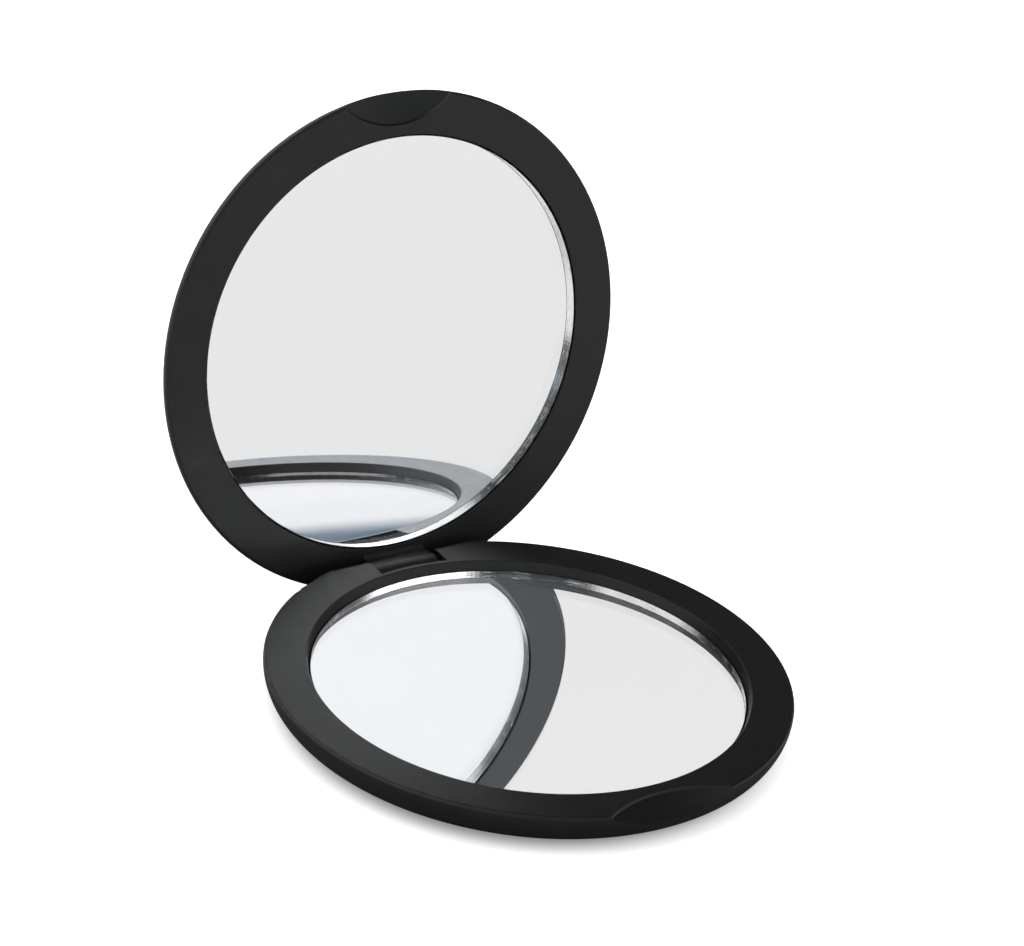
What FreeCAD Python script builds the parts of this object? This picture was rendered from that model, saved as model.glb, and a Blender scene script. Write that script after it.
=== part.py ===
import FreeCAD, Part
import math
import operator
import os
from types import SimpleNamespace

import Sketcher

# Round double compact mirror, in millimetres. +Z is up, the hinge is at +Y and the thumb scoops are at -Y.
# The origin is the middle of the underside. The lid is drawn lying on its rim and then stood open.

# Driving sizes, in millimetres and degrees
SIZES = {
    # Case outline
    "case_radius": 35.0,
    "base_height": 5.9,
    "lid_height": 3.5,
    "rim_rounding": 0.4,
    "base_foot_rise": 0.8,
    "base_side_turn": 70.0,
    "lid_crown_rise": 1.33,
    "lid_side_turn": 62.0,
    # Rims and mirror pockets
    "base_rim_width": 5.7,
    "base_pocket_draft": 0.35,
    "base_inner_rounding": 0.2,
    "base_recess": 1.35,
    "lid_rim_width": 5.95,
    "lid_inner_rounding": 0.12,
    "lid_recess": 0.25,
    # Mirrors and their tape
    "glass_thickness": 1.6,
    "glass_clearance": 0.2,
    "glass_chamfer": 0.15,
    "tape_thickness": 0.25,
    "tape_margin": 1.5,
    # Walls and seams between shells and bezels
    "base_floor": 1.5,
    "base_pocket_wall": 1.45,
    "base_rim_plate": 1.5,
    "base_skirt": 1.3,
    "base_seam_share": 0.565,
    "lip_height": 0.8,
    "lip_wall": 1.0,
    "lip_clearance": 0.1,
    "lip_root": 0.4,
    "rib_width": 1.2,
    "inner_rib_share": 0.42,
    "outer_rib_share": 0.84,
    "lid_seam_depth": 1.5,
    "lid_skirt": 1.45,
    # Hinge
    "open_angle": 99.3,
    "closed_gap": 0.3,
    "hinge_drop": 2.36,
    "ear_half_angle": 24.0,
    "lip_end_angle": 2.0,
    "ear_crown_share": 0.15,
    "ear_relief_half": 11.5,
    "slot_half": 5.2,
    "slot_wall": 0.6,
    "ear_corner_rounding": 1.5,
    "barrel_radius": 1.95,
    "barrel_clearance": 0.3,
    "knuckle_end_gap": 0.45,
    "knuckle_fillet": 0.6,
    "neck_back": 1.3,
    "neck_flare": 0.7,
    "neck_root": 0.8,
    "pin_radius": 0.8,
    "pin_chamfer": 0.2,
    "pin_seat_clearance": 0.01,
    "pin_running_clearance": 0.05,
    "pin_cover": 1.76,
    "pin_end_clearance": 0.1,
    "pin_recess": 0.4,
    # Thumb scoops, each a shallow ball-shaped dish inside a low sloping wall
    "scoop_wall_slope": 65.0,
    "base_scoop_curve": 18.03,
    "base_scoop_reach": 3.97,
    "base_scoop_step": 0.35,
    "base_scoop_lift": 31.4,
    "lid_scoop_curve": 11.82,
    "lid_scoop_reach": 4.5,
    "lid_scoop_step": 0.4,
    "lid_scoop_lift": 38.8,
    # Closure magnets
    "magnet_radius": 1.3,
    "magnet_thickness": 1.5,
    "magnet_angle": 30.0,
    "magnet_clearance": 0.03,
    "base_magnet_skin": 0.7,
    "boss_wall": 0.55,
    "boss_rim": 0.1,
    # How far a cut runs past the solid
    "overrun": 2.0,
}

OPERATIONS = {"+": operator.add, "-": operator.sub, "*": operator.mul, "/": operator.truediv}
FULL_TURN = 360


class Size:
    """A number together with the sheet formula that gives it, so that drawing and binding agree."""

    def __init__(self, value, formula):
        self.value = value
        self.formula = formula

    def joined(self, sign, other):
        other = as_size(other)
        return Size(OPERATIONS[sign](self.value, other.value), f"({self.formula} {sign} {other.formula})")

    def __add__(self, other):
        return self.joined("+", other)

    def __sub__(self, other):
        return self.joined("-", other)

    def __mul__(self, other):
        return self.joined("*", other)

    def __truediv__(self, other):
        return self.joined("/", other)

    def __neg__(self):
        return as_size(0).joined("-", self)


def as_size(number):
    return number if isinstance(number, Size) else Size(number, str(number))


def root(size):
    return Size(math.sqrt(size.value), f"sqrt({size.formula})")


def sine(angle):
    return Size(math.sin(math.radians(angle.value)), f"sin({angle.formula} * 1 deg)")


def cosine(angle):
    return Size(math.cos(math.radians(angle.value)), f"cos({angle.formula} * 1 deg)")


def tangent(angle):
    return Size(math.tan(math.radians(angle.value)), f"tan({angle.formula} * 1 deg)")


def leg(long_side, short_side):
    """The third side of a right triangle."""
    return root(long_side * long_side - short_side * short_side)


def slant(one_leg, other_leg):
    """The long side of a right triangle."""
    return root(one_leg * one_leg + other_leg * other_leg)


size = SimpleNamespace(**{name: Size(value, f"Sizes.{name}") for name, value in SIZES.items()})
nothing = as_size(0)

# Base levels and radii. The seam lies between the floor and the hinge pin
base_rim = size.base_height
hinge_z = base_rim - size.hinge_drop
base_side_top = base_rim - size.rim_rounding
base_side_radius = (base_side_top - size.base_foot_rise) / sine(size.base_side_turn)
base_side_centre = size.case_radius - base_side_radius
base_foot_radius = base_side_centre + base_side_radius * cosine(size.base_side_turn)
base_flat_radius = base_foot_radius - size.base_foot_rise * tangent(size.base_side_turn)
base_seam = size.base_floor + (hinge_z - size.pin_radius - size.base_floor) * size.base_seam_share
base_seam_radius = base_side_centre + leg(base_side_radius, base_side_top - base_seam)
base_mouth_radius = size.case_radius - size.base_rim_width
base_pocket_radius = base_mouth_radius - size.base_pocket_draft
base_wall_radius = base_pocket_radius + size.base_pocket_wall
base_glass_top = base_rim - size.base_recess
base_glass_back = base_glass_top - size.glass_thickness
base_tape_back = base_glass_back - size.tape_thickness
base_ceiling = base_rim - size.base_rim_plate
channel_radius = base_seam_radius - size.base_skirt
lip_outer_radius = channel_radius - size.lip_clearance
lip_inner_radius = lip_outer_radius - size.lip_wall
base_glass_radius = base_pocket_radius - size.glass_clearance

# Lid levels above its own rim, and radii
lid_pocket_depth = size.lid_recess + size.glass_thickness + size.tape_thickness
lid_side_radius = (size.lid_height - size.rim_rounding - size.lid_crown_rise) / sine(size.lid_side_turn)
lid_side_centre = size.case_radius - lid_side_radius
lid_crown_radius = lid_side_centre + lid_side_radius * cosine(size.lid_side_turn)
lid_flat_radius = lid_crown_radius - size.lid_crown_rise * tangent(size.lid_side_turn)
lid_seam_radius = lid_side_centre + leg(lid_side_radius, size.lid_seam_depth - size.rim_rounding)
lid_spigot_radius = lid_seam_radius - size.lid_skirt
lid_mouth_radius = size.case_radius - size.lid_rim_width
lid_glass_radius = lid_mouth_radius - size.glass_clearance
lid_glass_back = size.lid_recess + size.glass_thickness

# Hinge places, set out from the thin wall that parts the slot from the mirror
slot_radius = base_mouth_radius + size.slot_wall
hinge_y = slot_radius + size.barrel_clearance + size.barrel_radius
lid_rim_to_axis = size.hinge_drop + size.closed_gap
ear_radius = size.hinge_drop + size.closed_gap * size.ear_crown_share
slot_floor = hinge_z - size.barrel_radius - size.barrel_clearance
knuckle_half = size.slot_half - size.knuckle_end_gap
hinge_wall_radius = base_side_centre + leg(base_side_radius, base_side_top - hinge_z)
hinge_wall_half = leg(hinge_wall_radius, hinge_y + size.pin_radius)
pin_left_end = hinge_wall_half - size.pin_recess
pin_right_end = hinge_wall_half - size.pin_cover

# Magnet places
magnet_ring_radius = (base_wall_radius + channel_radius) / 2
magnet_x = magnet_ring_radius * sine(size.magnet_angle)
magnet_y = -(magnet_ring_radius * cosine(size.magnet_angle))
base_magnet_top = base_rim - size.base_magnet_skin
base_magnet_back = base_magnet_top - size.magnet_thickness
boss_bottom = base_magnet_back - size.boss_rim
lid_magnet_front = lid_pocket_depth - size.magnet_thickness

doc = FreeCAD.newDocument("CompactMirror")


def make_sheet():
    sheet = doc.addObject("Spreadsheet::Sheet", "Sizes")
    for row, (name, value) in enumerate(SIZES.items(), start=1):
        sheet.set(f"A{row}", name)
        sheet.set(f"B{row}", str(value))
        sheet.setAlias(f"B{row}", name)
    doc.recompute()


# Drawing helpers

def make_body(label):
    body = doc.addObject("PartDesign::Body", label)
    body.Label = label
    return body


def make_sketch(body, name, role, offset, shift=nothing):
    """An empty sketch on one of the body's own planes, moved along the plane's normal and its first axis."""
    sketch = body.newObject("Sketcher::SketchObject", name)
    plane = next(feature for feature in body.Origin.OriginFeatures if feature.Role == role)
    sketch.AttachmentSupport = [(plane, "")]
    sketch.MapMode = "FlatFace"
    place = FreeCAD.Vector(shift.value, 0, offset.value)
    sketch.AttachmentOffset = FreeCAD.Placement(place, FreeCAD.Rotation())
    sketch.setExpression("AttachmentOffset.Base.x", shift.formula)
    sketch.setExpression("AttachmentOffset.Base.z", offset.formula)
    return sketch


def bind(sketch, kind, *where, to):
    """Adds one sketch constraint whose value follows a formula of the sheet."""
    index = sketch.addConstraint(Sketcher.Constraint(kind, *where, to.value))
    sketch.setExpression(f"Constraints[{index}]", to.formula)


def pin_point(sketch, geometry, end, x, y):
    """Fixes a point of the sketch at x and y from the sketch's origin."""
    bind(sketch, "DistanceX", -1, 1, geometry, end, to=as_size(x))
    bind(sketch, "DistanceY", -1, 1, geometry, end, to=as_size(y))


def arc_around(centre, first, last):
    """The arc of under half a circle between two points, and whether it starts at the first of them."""
    angle = [math.atan2(point.y - centre.y, point.x - centre.x) for point in (first, last)]
    forward = (angle[1] - angle[0]) % math.tau < math.pi
    start, end = angle if forward else angle[::-1]
    circle = Part.Circle(centre, FreeCAD.Vector(0, 0, 1), first.distanceToPoint(centre))
    return Part.ArcOfCircle(circle, start, end), forward


def vector(x, y):
    return FreeCAD.Vector(as_size(x).value, as_size(y).value, 0)


def outline(body, name, role, corners, offset=nothing, shift=nothing):
    """A closed outline. A corner is x and y, and one reached by an arc adds that arc's centre and radius."""
    sketch = make_sketch(body, name, role, offset, shift)
    ends = []
    for index, corner in enumerate(corners):
        first, last = vector(*corners[index - 1][:2]), vector(*corner[:2])
        forward = True
        if len(corner) > 2:
            curve, forward = arc_around(vector(*corner[2]), first, last)
        else:
            curve = Part.LineSegment(first, last)
        geometry = sketch.addGeometry(curve, False)
        ends.append((geometry, 1, 2) if forward else (geometry, 2, 1))
    for index, corner in enumerate(corners):
        geometry, _, last_end = ends[index]
        following, first_end, _ = ends[(index + 1) % len(corners)]
        sketch.addConstraint(Sketcher.Constraint("Coincident", geometry, last_end, following, first_end))
        pin_point(sketch, geometry, last_end, *corner[:2])
        if len(corner) > 2:
            bind(sketch, "Radius", geometry, to=corner[3])
    return sketch


def circles(body, name, role, places, radius, offset):
    """Equal circles on one plane."""
    sketch = make_sketch(body, name, role, offset)
    for x, y in places:
        circle = Part.Circle(vector(x, y), FreeCAD.Vector(0, 0, 1), radius.value)
        geometry = sketch.addGeometry(circle, False)
        pin_point(sketch, geometry, 3, x, y)
        bind(sketch, "Radius", geometry, to=radius)
    return sketch


def revolve(body, kind, sketch, axis="V_Axis", angle=as_size(FULL_TURN)):
    """Turns an outline about one of its sketch's axes, to both sides alike."""
    feature = body.newObject(f"PartDesign::{kind}", f"{sketch.Name}Turned")
    feature.Profile = sketch
    feature.ReferenceAxis = (sketch, [axis])
    feature.Midplane = True
    feature.setExpression("Angle", angle.formula)
    sketch.Visibility = False
    return feature


def extrude(body, kind, sketch, length, side="One side", upward=True):
    """Pads or cuts a sketch along its plane's normal (upward) or against it."""
    feature = body.newObject(f"PartDesign::{kind}", f"{sketch.Name}Extruded")
    feature.Profile = sketch
    feature.SideType = side
    feature.Reversed = upward == (kind == "Pocket")
    feature.setExpression("Length", length.formula)
    sketch.Visibility = False
    return feature


def stand_open(body):
    """Moves a piece drawn in the lid's own frame to where the open lid holds it."""
    turn = size.open_angle
    y = hinge_y - hinge_y * cosine(turn) + lid_rim_to_axis * sine(turn)
    z = hinge_z + hinge_y * sine(turn) + lid_rim_to_axis * cosine(turn)
    body.Placement = FreeCAD.Placement(vector(0, y), FreeCAD.Rotation(FreeCAD.Vector(-1, 0, 0), turn.value))
    body.setExpression("Placement.Base.y", y.formula)
    body.setExpression("Placement.Base.z", z.formula)
    body.setExpression("Placement.Rotation.Angle", turn.formula)


# Outlines that two pieces share

def slot_corners():
    """The hinge slot from above: its mouth is rounded, and a thin curved wall parts it from the mirror."""
    rounding = size.ear_corner_rounding
    back = size.case_radius + size.overrun
    front = leg(slot_radius, size.slot_half)
    corner_x = size.slot_half + rounding
    corner_y = leg(size.case_radius - rounding, corner_x)
    to_wall = size.case_radius / (size.case_radius - rounding)
    mouth_x, mouth_y = corner_x * to_wall, corner_y * to_wall
    return [
        (mouth_x, back),
        (-mouth_x, back),
        (-mouth_x, mouth_y),
        (-size.slot_half, corner_y, (-corner_x, corner_y), rounding),
        (-size.slot_half, front),
        (size.slot_half, front, (nothing, nothing), slot_radius),
        (size.slot_half, corner_y),
        (mouth_x, mouth_y, (corner_x, corner_y), rounding),
    ]


def cut_slot(body, floor):
    sketch = outline(body, "Slot", "XY_Plane", slot_corners(), floor)
    extrude(body, "Pocket", sketch, size.base_height)


def ring_box(inner, outer, bottom, top):
    """A rectangle on the front side of the YZ plane."""
    return [(-inner, bottom), (-outer, bottom), (-outer, top), (-inner, top)]


def cut_scoop(body, curve, reach, step, lift, rim, upward):
    """Cuts a thumb scoop into a rim that faces up or down, round about an axis that stands before the case."""
    def level(height):
        return rim + height if upward else rim - height

    slope = tangent(size.scoop_wall_slope)
    wall_foot, wall_top = curve - step / slope, curve + size.overrun / slope
    ball_radius = slant(wall_foot, lift)
    ball_centre = lift - step
    corners = [
        (nothing, level(size.overrun)),
        (nothing, level(ball_centre - ball_radius)),
        (wall_foot, level(-step), (nothing, level(ball_centre)), ball_radius),
        (wall_top, level(size.overrun)),
    ]
    sketch = outline(body, "Scoop", "YZ_Plane", corners, shift=reach - size.case_radius - curve)
    revolve(body, "Groove", sketch)


def ear_free_angle(margin):
    """The turn that is left when the solid sector at the hinge is kept clear."""
    return as_size(FULL_TURN) - (size.ear_half_angle + margin) * 2


# Base pieces

def make_base_shell():
    """Underside and rounded side, with ribs that carry the mirror and a lip inside the bezel's skirt."""
    body = make_body("base_shell")
    corners = [
        (nothing, nothing),
        (base_flat_radius, nothing),
        (base_foot_radius, size.base_foot_rise),
        (base_seam_radius, base_seam, (base_side_centre, base_side_top), base_side_radius),
        (lip_inner_radius, base_seam),
        (lip_inner_radius, size.base_floor),
    ]
    for share in (size.outer_rib_share, size.inner_rib_share):
        outer = base_pocket_radius * share
        inner = outer - size.rib_width
        corners += [
            (outer, size.base_floor),
            (outer, base_tape_back),
            (inner, base_tape_back),
            (inner, size.base_floor),
        ]
    corners.append((nothing, size.base_floor))
    revolve(body, "Revolution", outline(body, "Section", "XZ_Plane", corners))
    lip_foot = base_seam - size.lip_root
    lip_top = base_seam + size.lip_height
    lip = outline(body, "Lip", "YZ_Plane", ring_box(lip_inner_radius, lip_outer_radius, lip_foot, lip_top))
    revolve(body, "Revolution", lip, angle=ear_free_angle(size.lip_end_angle))
    cut_slot(body, slot_floor)
    return body


def make_base_bezel():
    """Rim ring with the mirror pocket's wall, cored from below, with ears and a slot at the hinge."""
    body = make_body("base_bezel")
    inner_edge = base_mouth_radius + size.base_inner_rounding
    inner_edge_drop = base_rim - size.base_inner_rounding
    corners = [
        (inner_edge, base_rim, (inner_edge, inner_edge_drop), size.base_inner_rounding),
        (size.case_radius - size.rim_rounding, base_rim),
        (size.case_radius, base_side_top, (size.case_radius - size.rim_rounding, base_side_top),
         size.rim_rounding),
        (base_seam_radius, base_seam, (base_side_centre, base_side_top), base_side_radius),
        (base_wall_radius, base_seam),
        (base_wall_radius, size.base_floor),
        (base_pocket_radius, size.base_floor),
        (base_pocket_radius, base_glass_top),
        (base_mouth_radius, inner_edge_drop),
    ]
    revolve(body, "Revolution", outline(body, "Section", "XZ_Plane", corners))
    channel_foot = base_seam - size.overrun
    channel = ring_box(base_wall_radius, channel_radius, channel_foot, base_ceiling)
    revolve(body, "Groove", outline(body, "Channel", "YZ_Plane", channel), angle=ear_free_angle(nothing))

    magnets = [(magnet_x, magnet_y), (-magnet_x, magnet_y)]
    bosses = circles(body, "Bosses", "XY_Plane", magnets, size.magnet_radius + size.boss_wall, boss_bottom)
    extrude(body, "Pad", bosses, base_magnet_top - boss_bottom)
    hole_radius = size.magnet_radius + size.magnet_clearance
    holes = circles(body, "MagnetHoles", "XY_Plane", magnets, hole_radius, boss_bottom)
    extrude(body, "Pocket", holes, base_magnet_top - boss_bottom)

    cut_slot(body, nothing)
    back = size.case_radius + size.overrun
    top = base_rim + size.overrun
    relief = [
        (hinge_y + ear_radius, hinge_z, (hinge_y, hinge_z), ear_radius),
        (back, hinge_z),
        (back, top),
        (hinge_y, top),
        (hinge_y, hinge_z + ear_radius),
    ]
    sketch = outline(body, "EarRelief", "YZ_Plane", relief)
    extrude(body, "Pocket", sketch, size.ear_relief_half * 2, side="Symmetric")
    hole_end = pin_right_end + size.pin_end_clearance
    pin_hole_radius = size.pin_radius + size.pin_seat_clearance
    hole = circles(body, "PinHole", "YZ_Plane", [(hinge_y, hinge_z)], pin_hole_radius, hole_end)
    extrude(body, "Pocket", hole, hole_end + size.case_radius, upward=False)

    cut_scoop(body, size.base_scoop_curve, size.base_scoop_reach, size.base_scoop_step, size.base_scoop_lift,
              base_rim, upward=True)
    return body


# Lid pieces, drawn with the rim face at zero height

def make_lid_shell():
    """Outer cover of the lid, which carries the lid's mirror."""
    body = make_body("lid_shell")
    lip_radius = lid_spigot_radius + size.lip_clearance
    corners = [
        (nothing, lid_pocket_depth),
        (lip_radius, lid_pocket_depth),
        (lip_radius, size.lid_seam_depth),
        (lid_seam_radius, size.lid_seam_depth),
        (lid_crown_radius, size.lid_height - size.lid_crown_rise, (lid_side_centre, size.rim_rounding),
         lid_side_radius),
        (lid_flat_radius, size.lid_height),
        (nothing, size.lid_height),
    ]
    revolve(body, "Revolution", outline(body, "Section", "XZ_Plane", corners))
    return body


def make_lid_bezel():
    """Rim ring of the lid, with the hinge knuckle under its back."""
    body = make_body("lid_bezel")
    inner_edge = lid_mouth_radius + size.lid_inner_rounding
    corners = [
        (size.case_radius - size.rim_rounding, nothing),
        (size.case_radius, size.rim_rounding, (size.case_radius - size.rim_rounding, size.rim_rounding),
         size.rim_rounding),
        (lid_seam_radius, size.lid_seam_depth, (lid_side_centre, size.rim_rounding), lid_side_radius),
        (lid_spigot_radius, size.lid_seam_depth),
        (lid_spigot_radius, lid_pocket_depth),
        (lid_mouth_radius, lid_pocket_depth),
        (lid_mouth_radius, size.lid_inner_rounding),
        (inner_edge, nothing, (inner_edge, size.lid_inner_rounding), size.lid_inner_rounding),
    ]
    revolve(body, "Revolution", outline(body, "Section", "XZ_Plane", corners))

    magnets = [(magnet_x, magnet_y), (-magnet_x, magnet_y)]
    hole_radius = size.magnet_radius + size.magnet_clearance
    holes = circles(body, "MagnetHoles", "XY_Plane", magnets, hole_radius, lid_pocket_depth)
    extrude(body, "Pocket", holes, size.magnet_thickness, upward=False)

    cut_scoop(body, size.lid_scoop_curve, size.lid_scoop_reach, size.lid_scoop_step, size.lid_scoop_lift,
              nothing, upward=False)

    axis = (hinge_y, -lid_rim_to_axis)
    fillet = size.knuckle_fillet
    front = hinge_y - size.barrel_radius
    fillet_front = front - fillet
    neck_foot = leg(size.barrel_radius, size.neck_back) - lid_rim_to_axis
    back = hinge_y + size.neck_back
    flare_back = back + size.neck_flare
    knuckle = [
        (fillet_front, size.neck_root),
        (fillet_front, nothing),
        (front, -fillet, (fillet_front, -fillet), fillet),
        (front, -lid_rim_to_axis),
        (hinge_y, -lid_rim_to_axis - size.barrel_radius, axis, size.barrel_radius),
        (back, neck_foot, axis, size.barrel_radius),
        (back, -size.neck_flare),
        (flare_back, nothing, (flare_back, -size.neck_flare), size.neck_flare),
        (flare_back, size.neck_root),
    ]
    sketch = outline(body, "Knuckle", "YZ_Plane", knuckle)
    extrude(body, "Pad", sketch, knuckle_half * 2, side="Symmetric")
    bore_radius = size.pin_radius + size.pin_running_clearance
    bore = circles(body, "Bore", "YZ_Plane", [axis], bore_radius, nothing)
    extrude(body, "Pocket", bore, size.slot_half * 2, side="Symmetric")
    return body


# Pieces that both halves have

def make_mirror(label, radius, bottom):
    """Round glass with ground edges."""
    body = make_body(label)
    top = bottom + size.glass_thickness
    edge = radius - size.glass_chamfer
    corners = [
        (nothing, bottom),
        (edge, bottom),
        (radius, bottom + size.glass_chamfer),
        (radius, top - size.glass_chamfer),
        (edge, top),
        (nothing, top),
    ]
    revolve(body, "Revolution", outline(body, "Section", "XZ_Plane", corners))
    return body


def make_tape(label, glass_radius, bottom):
    """Double-sided tape disc under a mirror."""
    body = make_body(label)
    sketch = circles(body, "Disc", "XY_Plane", [(nothing, nothing)], glass_radius - size.tape_margin, bottom)
    extrude(body, "Pad", sketch, size.tape_thickness)
    return body


def make_magnet(label, x, bottom):
    body = make_body(label)
    sketch = circles(body, "Disc", "XY_Plane", [(x, magnet_y)], size.magnet_radius, bottom)
    extrude(body, "Pad", sketch, size.magnet_thickness)
    return body


def make_hinge_pin():
    """Steel pin with chamfered ends, drawn along X about its own axis."""
    body = make_body("hinge_pin")
    end = size.pin_radius - size.pin_chamfer
    corners = [
        (-pin_left_end, nothing),
        (pin_right_end, nothing),
        (pin_right_end, end),
        (pin_right_end - size.pin_chamfer, size.pin_radius),
        (size.pin_chamfer - pin_left_end, size.pin_radius),
        (-pin_left_end, end),
    ]
    revolve(body, "Revolution", outline(body, "Section", "XY_Plane", corners), axis="H_Axis")
    body.setExpression("Placement.Base.y", hinge_y.formula)
    body.setExpression("Placement.Base.z", hinge_z.formula)
    return body


def make_parts():
    base = [
        make_base_shell(),
        make_base_bezel(),
        make_mirror("base_mirror", base_glass_radius, base_glass_back),
        make_tape("base_mirror_tape", base_glass_radius, base_tape_back),
        make_hinge_pin(),
    ]
    lid = [
        make_lid_shell(),
        make_lid_bezel(),
        make_mirror("lid_mirror", lid_glass_radius, size.lid_recess),
        make_tape("lid_mirror_tape", lid_glass_radius, lid_glass_back),
    ]
    for side, x in (("left", -magnet_x), ("right", magnet_x)):
        base.append(make_magnet(f"base_magnet_{side}", x, base_magnet_back))
        lid.append(make_magnet(f"lid_magnet_{side}", x, lid_magnet_front))
    for body in lid:
        stand_open(body)
    return base + lid


def check_features(body):
    """Every pad must add material and every cut must take some away."""
    for feature in body.Group:
        before = getattr(feature, "BaseFeature", None)
        if before is None:
            continue
        change = feature.Shape.Volume - before.Shape.Volume
        cuts = feature.TypeId.endswith(("Pocket", "Groove"))
        if (change < 0) != cuts or change == 0:
            raise RuntimeError(f"{body.Label}: {feature.Name} changes nothing or the wrong way")


def check_document(bodies):
    for item in doc.Objects:
        if "Invalid" in item.State or "Error" in item.State:
            raise RuntimeError(f"{item.Label} failed: {item.State}")
    for body in bodies:
        if body.Shape.isNull() or not body.Shape.isValid() or len(body.Shape.Solids) != 1:
            raise RuntimeError(f"{body.Label} is not one valid solid")
        check_features(body)


def write_parts(bodies):
    os.makedirs("parts", exist_ok=True)
    for body in bodies:
        body.Shape.exportStep(f"parts/{body.Label}.step")
        print(body.Label, f"{body.Shape.Volume:.1f} mm3")


make_sheet()
parts = make_parts()
doc.recompute()
check_document(parts)
write_parts(parts)
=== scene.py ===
import math

import bpy
from mathutils import Matrix, Vector


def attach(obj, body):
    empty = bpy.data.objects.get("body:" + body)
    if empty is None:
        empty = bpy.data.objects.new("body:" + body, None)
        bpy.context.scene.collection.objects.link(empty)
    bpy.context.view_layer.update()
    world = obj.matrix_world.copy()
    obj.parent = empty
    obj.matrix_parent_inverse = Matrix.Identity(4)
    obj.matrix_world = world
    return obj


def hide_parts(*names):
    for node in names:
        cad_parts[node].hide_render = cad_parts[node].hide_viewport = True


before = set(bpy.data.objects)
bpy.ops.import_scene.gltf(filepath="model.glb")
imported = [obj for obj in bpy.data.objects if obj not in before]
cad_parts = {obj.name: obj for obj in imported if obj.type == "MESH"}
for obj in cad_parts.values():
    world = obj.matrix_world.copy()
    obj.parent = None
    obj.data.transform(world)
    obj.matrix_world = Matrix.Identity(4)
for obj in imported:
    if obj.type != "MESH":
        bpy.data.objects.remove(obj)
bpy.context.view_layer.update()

MM = 0.001

# Camera, fitted to the outlines of the photograph
CAMERA_PLACE = (-0.28262, -0.38782, 0.28862)
CAMERA_RIGHT = (0.8421, -0.5283, 0.1089)
CAMERA_UP = (0.1685, 0.4495, 0.8772)
CAMERA_BACK = (-0.5123, -0.7203, 0.46757)
CAMERA_LENS = 149.23
CAMERA_CLIP = 0.01
SENSOR_WIDTH = 36.0

# Mirrors, in millimetres: the panes' radii and levels, the order of their materials, and where the
# lid's own frame stands
GLASS_SEGMENTS = 288
GLASS_CHAMFER = 0.04
CLEAR, GROUND, SILVER = range(3)
PANE_POINT = "pane_point"
BASE_GLASS = {"radius": 28.75, "front": 4.55, "back": 3.25, "tilt": (0, 0)}
LID_GLASS = {"radius": 28.85, "front": 0.25, "back": 1.69, "tilt": (0.0041, -0.0026)}
HINGE_Y = 32.15
HINGE_Z = 3.54
LID_RIM_TO_AXIS = 2.66
OPEN_ANGLE = math.radians(99.3)

# Materials. A noise scale is in cells per metre. A ramp's stop is a place, and a grey level or a
# colour. A grain is the bump's strength, and its depth in metres
NOISE_LOW, NOISE_HIGH = 0.3, 0.7
PLASTIC_MOTTLE = 140
PLASTIC_TONES = [(NOISE_LOW, (0.006, 0.0063, 0.0065)), (NOISE_HIGH, (0.0085, 0.0088, 0.009))]
PLASTIC_GLOSS = 900
PLASTIC_ROUGHNESS = (0.37, 0.43)
PLASTIC_PORES = 9000
PLASTIC_GRAIN = (0.12, 0.00002)
PLASTIC_SPECULAR = 0.46
GLASS_TINT = (0.985, 0.987, 0.99, 1)
GLASS_IOR = 1.52
SILVER_CLOUDS = 30
SILVER_TONES = [(NOISE_LOW, (0.93, 0.932, 0.938)), (NOISE_HIGH, (0.94, 0.942, 0.948))]
EDGE_STRETCH = (1, 1, 7)
EDGE_STREAKS = 420
EDGE_TONES = [(0.3, (0.2, 0.22, 0.24)), (0.37, (0.95, 0.96, 0.96)), (0.75, (0.98, 0.99, 0.99))]
EDGE_ROUGHNESS = (0.2, 0.08)
EDGE_CHIPS = [(0.585, 1), (0.625, 0)]
EDGE_SCRATCHES = 900
EDGE_GRAIN = (0.15, 0.00006)
TAPE_CELLS = 2500
TAPE_TONES = [(NOISE_LOW, 0.72), (NOISE_HIGH, 0.86)]
TAPE_GRAIN = (0.3, 0.00005)
TAPE_ROUGHNESS = 0.85
METAL_STRETCH = (60, 4000, 4000)
METAL_SHADE = 0.82
NICKEL = {"colour": (0.72, 0.71, 0.68), "roughness": (0.18, 0.3)}
STEEL = {"colour": (0.6, 0.6, 0.6), "roughness": (0.25, 0.4)}

# Floor. Its glow as the camera sees it, its glow as the mirrors see it, and its tone as the plastic
# sees it go by the distance from the middle, in tenths of a metre. Each is lower near the part:
# painted shadow
FLOOR_HALF = 4.0
FLOOR_COLOUR = (0.74, 0.74, 0.74, 1)
TENTHS = (10, 10, 10)
GLOW_SEEN_PAINTED_SHADOW = [(0.31, 0.24), (0.337, 0.62), (0.364, 0.87), (0.45, 1.0)]
GLOW_REFLECTED_PAINTED_SHADOW = [(0.36, 0.15), (0.5, 0.26), (1.0, 0.265)]
# Painted shade: as the plastic sees it, the floor is darker near the part
FLOOR_IN_PLASTIC_PAINTED_SHADE = [(0.36, 0.2), (0.5, 0.45), (0.75, 0.74)]

# What stands round the part in the studio, by direction. The mirrors see white walls, a dark one on
# the right, and a grey ceiling. In front lies a white table that is dark grey on the left. Over its
# edge stands a dim room, dark on its left and with a lit screen on its right
WHITE = (1, 1, 1, 1)
WORLD_LIGHT = 0.4
WALL_COLOUR = (0.96, 0.96, 0.96, 1)
CEILING_START = (0.72, 1.0)
CEILING_COLOUR = (0.5, 0.52, 0.54, 1)
SIDE_START = (0.57, 0.67)
SIDE_COLOUR = (0.12, 0.12, 0.12, 1)
TABLE_COLOUR = (1.1, 1.11, 1.12, 1)
LEFT_START = (-0.35, -0.5)
LEFT_COLOUR = (0.08, 0.084, 0.09, 1)
ROOM_FRONT = (-0.3, -0.48)
ROOM_START = (0.2144, 0.2184)
ROOM_COLOUR = (0.2, 0.27, 0.34, 1)
ROOM_DARK = (0.02, 0.021, 0.023, 1)
SCREEN_START = (0.255, 0.29)
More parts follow.
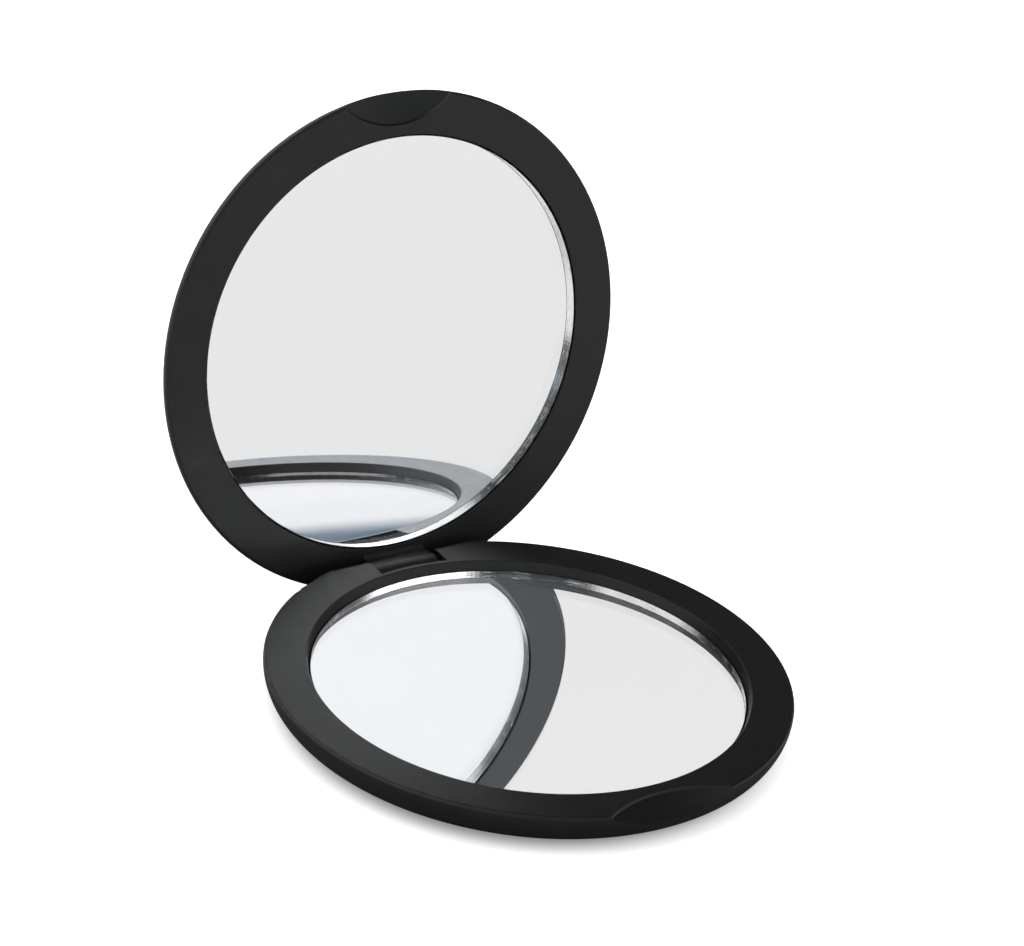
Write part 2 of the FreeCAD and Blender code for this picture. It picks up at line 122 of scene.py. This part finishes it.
SCREEN_RIGHT = (-0.05, 0.1)
SCREEN_LOW = (2.2, 2.2, 2.2, 1)
SCREEN_HIGH = (1.04, 1.05, 1.06, 1)
SCREEN_FADE = (0.5, 0.62)
# The plastic sees white walls, a dark card on the right and a dim room in front. Where the plastic
# shows in a mirror, it sees a bright panel in front
FRONT_START = (0.12, 0.28)
FRONT_COLOUR = (0.2, 0.23, 0.26, 1)
PANEL_COLOUR = (3.0, 3.15, 3.3, 1)
CARD_COLOUR = (0.03, 0.03, 0.033, 1)
CARD_TOWARDS = (0.62, 0.2, 0.758)
CARD_SPREAD = (0.743, 0.829)

# Lamps, and a dark flag behind the part
LAMP_TARGET = Vector((0, 0, 0.02))
SOFTBOXES = {
    "key_softbox": {"place": (0.42, -0.58, 0.57), "width": 0.84, "height": 0.7, "radiance": 0.96},
    "top_softbox": {"place": (-0.35, 0.15, 0.85), "width": 0.8, "height": 0.8, "radiance": 1.8},
}
FLAG_HALF = 0.26
FLAG_PLACE = Vector((0.38, 0.37, 0.24))
FLAG_COLOUR = (0.15, 0.15, 0.15, 1)


# Node helpers

def new_material(name):
    """A material with a Principled shader and its node tree's handles."""
    material = bpy.data.materials.new(name)
    material.use_nodes = True
    tree = material.node_tree
    shader = tree.nodes["Principled BSDF"]
    return material, tree, shader


def add(tree, kind, **values):
    """A node whose input sockets are set by name."""
    node = tree.nodes.new(kind)
    for name, value in values.items():
        node.inputs[name.replace("_", " ")].default_value = value
    return node


def link(tree, source, target):
    tree.links.new(source, target)


def object_point(tree):
    return tree.nodes.new("ShaderNodeTexCoord").outputs["Object"]


def stretched(tree, point, scale):
    node = add(tree, "ShaderNodeMapping", Scale=scale)
    link(tree, point, node.inputs["Vector"])
    return node.outputs["Vector"]


def noise(tree, vector, scale, detail=2.0, roughness=0.5):
    node = add(tree, "ShaderNodeTexNoise", Scale=scale, Detail=detail, Roughness=roughness)
    link(tree, vector, node.inputs["Vector"])
    return node.outputs["Fac"]


def ramp(tree, factor, stops):
    """Colours along a factor."""
    node = tree.nodes.new("ShaderNodeValToRGB")
    elements = node.color_ramp.elements
    while len(elements) < len(stops):
        elements.new(0.5)
    for element, (place, colour) in zip(elements, stops):
        element.position = place
        element.color = (*colour, 1) if isinstance(colour, tuple) else (colour, colour, colour, 1)
    link(tree, factor, node.inputs["Fac"])
    return node.outputs["Color"]


def spread(tree, factor, low, high):
    """Stretches a noise factor to a range."""
    node = add(tree, "ShaderNodeMapRange",
               From_Min=NOISE_LOW, From_Max=NOISE_HIGH, To_Min=low, To_Max=high)
    link(tree, factor, node.inputs["Value"])
    return node.outputs["Result"]


def bump(tree, height, strength, depth):
    node = add(tree, "ShaderNodeBump", Strength=strength, Distance=depth)
    link(tree, height, node.inputs["Height"])
    return node.outputs["Normal"]


def combine(tree, operation, first, second):
    node = tree.nodes.new("ShaderNodeMath")
    node.operation = operation
    link(tree, first, node.inputs[0])
    link(tree, second, node.inputs[1])
    return node.outputs["Value"]


def ray_kind(tree, *names):
    """One for rays of the named kinds, and zero for the rest."""
    path = tree.nodes.new("ShaderNodeLightPath")
    total = path.outputs[f"Is {names[0]} Ray"]
    for name in names[1:]:
        total = combine(tree, "MAXIMUM", total, path.outputs[f"Is {name} Ray"])
    return total


def smooth_step(tree, value, start, stop):
    node = add(tree, "ShaderNodeMapRange", From_Min=start, From_Max=stop)
    node.interpolation_type = "SMOOTHSTEP"
    link(tree, value, node.inputs["Value"])
    return node.outputs["Result"]


def mix_colour(tree, factor, first, second):
    """Goes from the first colour to the second. Each is a constant or a socket."""
    node = add(tree, "ShaderNodeMix")
    node.data_type = "RGBA"
    link(tree, factor, node.inputs["Factor"])
    sockets = [socket for socket in node.inputs if socket.type == "RGBA"]
    for socket, colour in zip(sockets, (first, second)):
        if isinstance(colour, tuple):
            socket.default_value = colour
        else:
            link(tree, colour, socket)
    return next(socket for socket in node.outputs if socket.type == "RGBA")


# Materials

def soft_touch_plastic():
    """Black plastic with a matte rubbery coat: fine grain, and a faint mottle in tone and gloss."""
    material, tree, shader = new_material("soft_touch_black")
    point = object_point(tree)
    tone = ramp(tree, noise(tree, point, PLASTIC_MOTTLE, detail=4), PLASTIC_TONES)
    link(tree, tone, shader.inputs["Base Color"])
    gloss = spread(tree, noise(tree, point, PLASTIC_GLOSS, detail=3), *PLASTIC_ROUGHNESS)
    link(tree, gloss, shader.inputs["Roughness"])
    grain = bump(tree, noise(tree, point, PLASTIC_PORES), *PLASTIC_GRAIN)
    link(tree, grain, shader.inputs["Normal"])
    shader.inputs["Specular IOR Level"].default_value = PLASTIC_SPECULAR
    return material


def clear_glass():
    material, _, shader = new_material("clear_glass")
    shader.inputs["Transmission Weight"].default_value = 1
    shader.inputs["IOR"].default_value = GLASS_IOR
    shader.inputs["Base Color"].default_value = GLASS_TINT
    shader.inputs["Roughness"].default_value = 0
    return material


def silvering():
    """Mirror coat with a faint cloudiness in tone."""
    material, tree, shader = new_material("silvering")
    shader.inputs["Metallic"].default_value = 1
    tone = ramp(tree, noise(tree, object_point(tree), SILVER_CLOUDS), SILVER_TONES)
    link(tree, tone, shader.inputs["Base Color"])
    shader.inputs["Roughness"].default_value = 0
    return material


def ground_edge():
    """Cut edge of the glass: it throws light back, with white chips and streaks along it."""
    material, tree, shader = new_material("ground_glass_edge")
    own_point = tree.nodes.new("ShaderNodeAttribute")
    own_point.attribute_name = PANE_POINT
    along = stretched(tree, own_point.outputs["Vector"], EDGE_STRETCH)
    streak = noise(tree, along, EDGE_STREAKS, detail=5, roughness=0.6)
    link(tree, ramp(tree, streak, EDGE_TONES), shader.inputs["Base Color"])
    link(tree, spread(tree, streak, *EDGE_ROUGHNESS), shader.inputs["Roughness"])
    link(tree, ramp(tree, streak, EDGE_CHIPS), shader.inputs["Metallic"])
    grain = bump(tree, noise(tree, along, EDGE_SCRATCHES, detail=3), *EDGE_GRAIN)
    link(tree, grain, shader.inputs["Normal"])
    return material


def foam_tape():
    material, tree, shader = new_material("white_foam_tape")
    cells = noise(tree, object_point(tree), TAPE_CELLS, detail=3)
    link(tree, ramp(tree, cells, TAPE_TONES), shader.inputs["Base Color"])
    link(tree, bump(tree, cells, *TAPE_GRAIN), shader.inputs["Normal"])
    shader.inputs["Roughness"].default_value = TAPE_ROUGHNESS
    return material


def metal(name, colour, roughness):
    """Plated or drawn metal with fine lines along X."""
    material, tree, shader = new_material(name)
    point = stretched(tree, object_point(tree), METAL_STRETCH)
    lines = noise(tree, point, 1, detail=3)
    darker = tuple(METAL_SHADE * level for level in colour)
    tone = ramp(tree, lines, [(NOISE_LOW, darker), (NOISE_HIGH, colour)])
    link(tree, tone, shader.inputs["Base Color"])
    link(tree, spread(tree, lines, *roughness), shader.inputs["Roughness"])
    shader.inputs["Metallic"].default_value = 1
    return material


def matte(name):
    """A material without any gloss, for the stage."""
    material, tree, shader = new_material(name)
    shader.inputs["Roughness"].default_value = 1
    shader.inputs["Specular IOR Level"].default_value = 0
    return material, tree, shader


# Objects

def add_object(name, data):
    thing = bpy.data.objects.new(name, data)
    bpy.context.scene.collection.objects.link(thing)
    return thing


def add_square(name, half, material):
    corners = [(-half, -half, 0), (half, -half, 0), (half, half, 0), (-half, half, 0)]
    mesh = bpy.data.meshes.new(name)
    mesh.from_pydata(corners, [], [(0, 1, 2, 3)])
    mesh.materials.append(material)
    return add_object(name, mesh)


def dress_nodes():
    """Gives nodes the material of their kind, the last word of the name. Mirrors are left out."""
    plastic = soft_touch_plastic()
    nickel = metal("nickel_plate", **NICKEL)
    by_kind = {
        "shell": plastic,
        "bezel": plastic,
        "tape": foam_tape(),
        "left": nickel,
        "right": nickel,
        "pin": metal("pin_steel", **STEEL),
    }
    for name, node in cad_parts.items():
        kind = name.split("_")[-1]
        if kind in by_kind:
            node.data.materials.clear()
            node.data.materials.append(by_kind[kind])


def pane_mesh(name, materials, radius, front, back, tilt):
    """A closed glass disc: clear front, ground chamfer and edge, silvered back that may lean."""
    rings = [
        (radius - GLASS_CHAMFER, front, 0),
        (radius, front + math.copysign(GLASS_CHAMFER, back - front), 0),
        (radius, back, 1),
    ]
    points = []
    for ring_radius, level, lean in rings:
        for step in range(GLASS_SEGMENTS):
            angle = math.tau * step / GLASS_SEGMENTS
            x, y = ring_radius * math.cos(angle), ring_radius * math.sin(angle)
            points.append((x, y, level + lean * (tilt[0] * x + tilt[1] * y)))
    points = [[MM * value for value in point] for point in points]

    faces = [list(range(GLASS_SEGMENTS))]
    slots = [CLEAR]
    for ring in range(len(rings) - 1):
        for here in range(GLASS_SEGMENTS):
            there = (here + 1) % GLASS_SEGMENTS
            low, high = ring * GLASS_SEGMENTS, (ring + 1) * GLASS_SEGMENTS
            faces.append([low + here, high + here, high + there, low + there])
            slots.append(GROUND)
    last = (len(rings) - 1) * GLASS_SEGMENTS
    faces.append([last + step for step in reversed(range(GLASS_SEGMENTS))])
    slots.append(SILVER)
    if back > front:
        faces = [face[::-1] for face in faces]

    mesh = bpy.data.meshes.new(name)
    mesh.from_pydata(points, [], faces)
    own_points = mesh.attributes.new(PANE_POINT, "FLOAT_VECTOR", "POINT")
    for place, point in zip(own_points.data, points):
        place.vector = point
    for material in materials:
        mesh.materials.append(material)
    for polygon, slot in zip(mesh.polygons, slots):
        polygon.material_index = slot
        polygon.use_smooth = False
    mesh.validate()
    return mesh


def lid_matrix():
    """From the lid's own frame, with its rim face at zero, to the open lid."""
    y = HINGE_Y - HINGE_Y * math.cos(OPEN_ANGLE) + LID_RIM_TO_AXIS * math.sin(OPEN_ANGLE)
    z = HINGE_Z + HINGE_Y * math.sin(OPEN_ANGLE) + LID_RIM_TO_AXIS * math.cos(OPEN_ANGLE)
    return Matrix.Translation((0, MM * y, MM * z)) @ Matrix.Rotation(-OPEN_ANGLE, 4, "X")


def add_pane(name, materials, sizes, body, node, matrix):
    """A mirror as glass with silvering behind it, in place of its plain solid."""
    mesh = pane_mesh(name, materials, **sizes)
    mesh.transform(matrix)
    pane = add_object(name, mesh)
    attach(pane, body)
    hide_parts(node)


def add_panes():
    materials = [clear_glass(), ground_edge(), silvering()]
    in_place = Matrix.Identity(4)
    add_pane("base_mirror_pane", materials, BASE_GLASS, "base", "base_mirror", in_place)
    add_pane("lid_mirror_pane", materials, LID_GLASS, "lid", "lid_mirror", lid_matrix())


# Stage

def add_floor():
    """A pale floor that keeps the shadow, has a painted shadow round the part, and otherwise shows
    white.
    """
    material, tree, shader = matte("pale_floor")
    distance = tree.nodes.new("ShaderNodeVectorMath")
    distance.operation = "LENGTH"
    link(tree, stretched(tree, object_point(tree), TENTHS), distance.inputs[0])
    in_plastic = combine(tree, "SUBTRACT", ray_kind(tree, "Glossy"), ray_kind(tree, "Singular"))
    # Painted shade: as the plastic sees it, the floor is darker near the part
    painted_shade_tone = ramp(tree, distance.outputs["Value"], FLOOR_IN_PLASTIC_PAINTED_SHADE)
    link(tree, mix_colour(tree, in_plastic, FLOOR_COLOUR, painted_shade_tone), shader.inputs["Base Color"])
    glows = []
    # Both glows are lower near the part: a painted shadow round it
    for kind, stops in (("Camera", GLOW_SEEN_PAINTED_SHADOW), ("Singular", GLOW_REFLECTED_PAINTED_SHADOW)):
        level = ramp(tree, distance.outputs["Value"], stops)
        glows.append(combine(tree, "MULTIPLY", level, ray_kind(tree, kind)))
    shader.inputs["Emission Color"].default_value = WHITE
    link(tree, combine(tree, "ADD", *glows), shader.inputs["Emission Strength"])
    floor = add_square("floor", FLOOR_HALF, material)


def mirror_surroundings(tree, x, y, z):
    """What the mirrors see."""
    before = smooth_step(tree, y, *ROOM_FRONT)
    wall = mix_colour(tree, before, WALL_COLOUR, TABLE_COLOUR)
    wall = mix_colour(tree, smooth_step(tree, z, *CEILING_START), wall, CEILING_COLOUR)
    aside = combine(tree, "SUBTRACT", smooth_step(tree, x, *SIDE_START), before)
    wall = mix_colour(tree, aside, wall, SIDE_COLOUR)
    left = combine(tree, "MULTIPLY", smooth_step(tree, x, *LEFT_START), before)
    wall = mix_colour(tree, left, wall, LEFT_COLOUR)
    screen = mix_colour(tree, smooth_step(tree, z, *SCREEN_FADE), SCREEN_LOW, SCREEN_HIGH)
    screen = mix_colour(tree, smooth_step(tree, x, *SCREEN_RIGHT), ROOM_DARK, screen)
    room = mix_colour(tree, smooth_step(tree, z, *SCREEN_START), ROOM_COLOUR, screen)
    in_room = combine(tree, "MULTIPLY", smooth_step(tree, z, *ROOM_START), before)
    return mix_colour(tree, in_room, wall, room)


def plastic_surroundings(tree, direction, y, z):
    """What the plastic sees."""
    towards = tree.nodes.new("ShaderNodeVectorMath")
    towards.operation = "DOT_PRODUCT"
    link(tree, direction, towards.inputs[0])
    towards.inputs[1].default_value = CARD_TOWARDS
    card = smooth_step(tree, towards.outputs["Value"], *CARD_SPREAD)
    depth = tree.nodes.new("ShaderNodeLightPath").outputs["Transmission Depth"]
    front = mix_colour(tree, smooth_step(tree, depth, 0, 1), FRONT_COLOUR, PANEL_COLOUR)
    before = smooth_step(tree, y, *ROOM_FRONT)
    in_front = combine(tree, "MULTIPLY", smooth_step(tree, z, *FRONT_START), before)
    return mix_colour(tree, card, mix_colour(tree, in_front, WALL_COLOUR, front), CARD_COLOUR)


def make_world():
    """White for the camera, plain soft light, and surroundings for glossy and glass surfaces."""
    world = bpy.data.worlds.new("studio")
    world.use_nodes = True
    tree = world.node_tree
    plain = tree.nodes["Background"]
    plain.inputs["Color"].default_value = WHITE
    level = add(tree, "ShaderNodeMapRange", To_Min=WORLD_LIGHT, To_Max=1.0)
    link(tree, ray_kind(tree, "Camera"), level.inputs["Value"])
    link(tree, level.outputs["Result"], plain.inputs["Strength"])

    direction = tree.nodes.new("ShaderNodeTexCoord").outputs["Generated"]
    axes = tree.nodes.new("ShaderNodeSeparateXYZ")
    link(tree, direction, axes.inputs["Vector"])
    x, y, z = (axes.outputs[name] for name in "XYZ")
    in_mirrors = mirror_surroundings(tree, x, y, z)
    in_plastic = plastic_surroundings(tree, direction, y, z)
    colour = mix_colour(tree, ray_kind(tree, "Singular"), in_plastic, in_mirrors)
    studio = tree.nodes.new("ShaderNodeBackground")
    link(tree, colour, studio.inputs["Color"])

    either = tree.nodes.new("ShaderNodeMixShader")
    link(tree, ray_kind(tree, "Glossy", "Transmission"), either.inputs["Fac"])
    link(tree, plain.outputs["Background"], either.inputs[1])
    link(tree, studio.outputs["Background"], either.inputs[2])
    link(tree, either.outputs["Shader"], tree.nodes["World Output"].inputs["Surface"])
    bpy.context.scene.world = world


def add_softbox(name, place, width, height, radiance):
    """A lamp whose face has the given radiance. The world stands for it in reflections."""
    lamp = bpy.data.lights.new(name, "AREA")
    lamp.shape = "RECTANGLE"
    lamp.size = width
    lamp.size_y = height
    lamp.energy = radiance * math.pi * width * height
    softbox = add_object(name, lamp)
    softbox.location = place
    softbox.rotation_euler = (LAMP_TARGET - Vector(place)).to_track_quat("-Z", "Y").to_euler()
    softbox.visible_glossy = False
    softbox.visible_transmission = False


def add_flag():
    """A dark studio flag behind the part, which only glossy surfaces see."""
    material, _, shader = matte("dark_flag")
    shader.inputs["Base Color"].default_value = FLAG_COLOUR
    flag = add_square("flag", FLAG_HALF, material)
    flag.location = FLAG_PLACE
    flag.rotation_euler = (-FLAG_PLACE).to_track_quat("Z", "Y").to_euler()
    flag.visible_camera = False
    flag.visible_diffuse = False
    flag.visible_transmission = False
    flag.visible_shadow = False


def add_camera():
    data = bpy.data.cameras.new("camera")
    data.sensor_width = SENSOR_WIDTH
    data.lens = CAMERA_LENS
    data.clip_start = CAMERA_CLIP
    camera = add_object("camera", data)
    columns = Matrix((CAMERA_RIGHT, CAMERA_UP, CAMERA_BACK)).transposed()
    camera.matrix_world = Matrix.Translation(CAMERA_PLACE) @ columns.to_4x4()
    bpy.context.scene.camera = camera


dress_nodes()
add_panes()
add_floor()
make_world()
for name, values in SOFTBOXES.items():
    add_softbox(name, **values)
add_flag()
add_camera()
bpy.context.scene.view_settings.view_transform = "Standard"
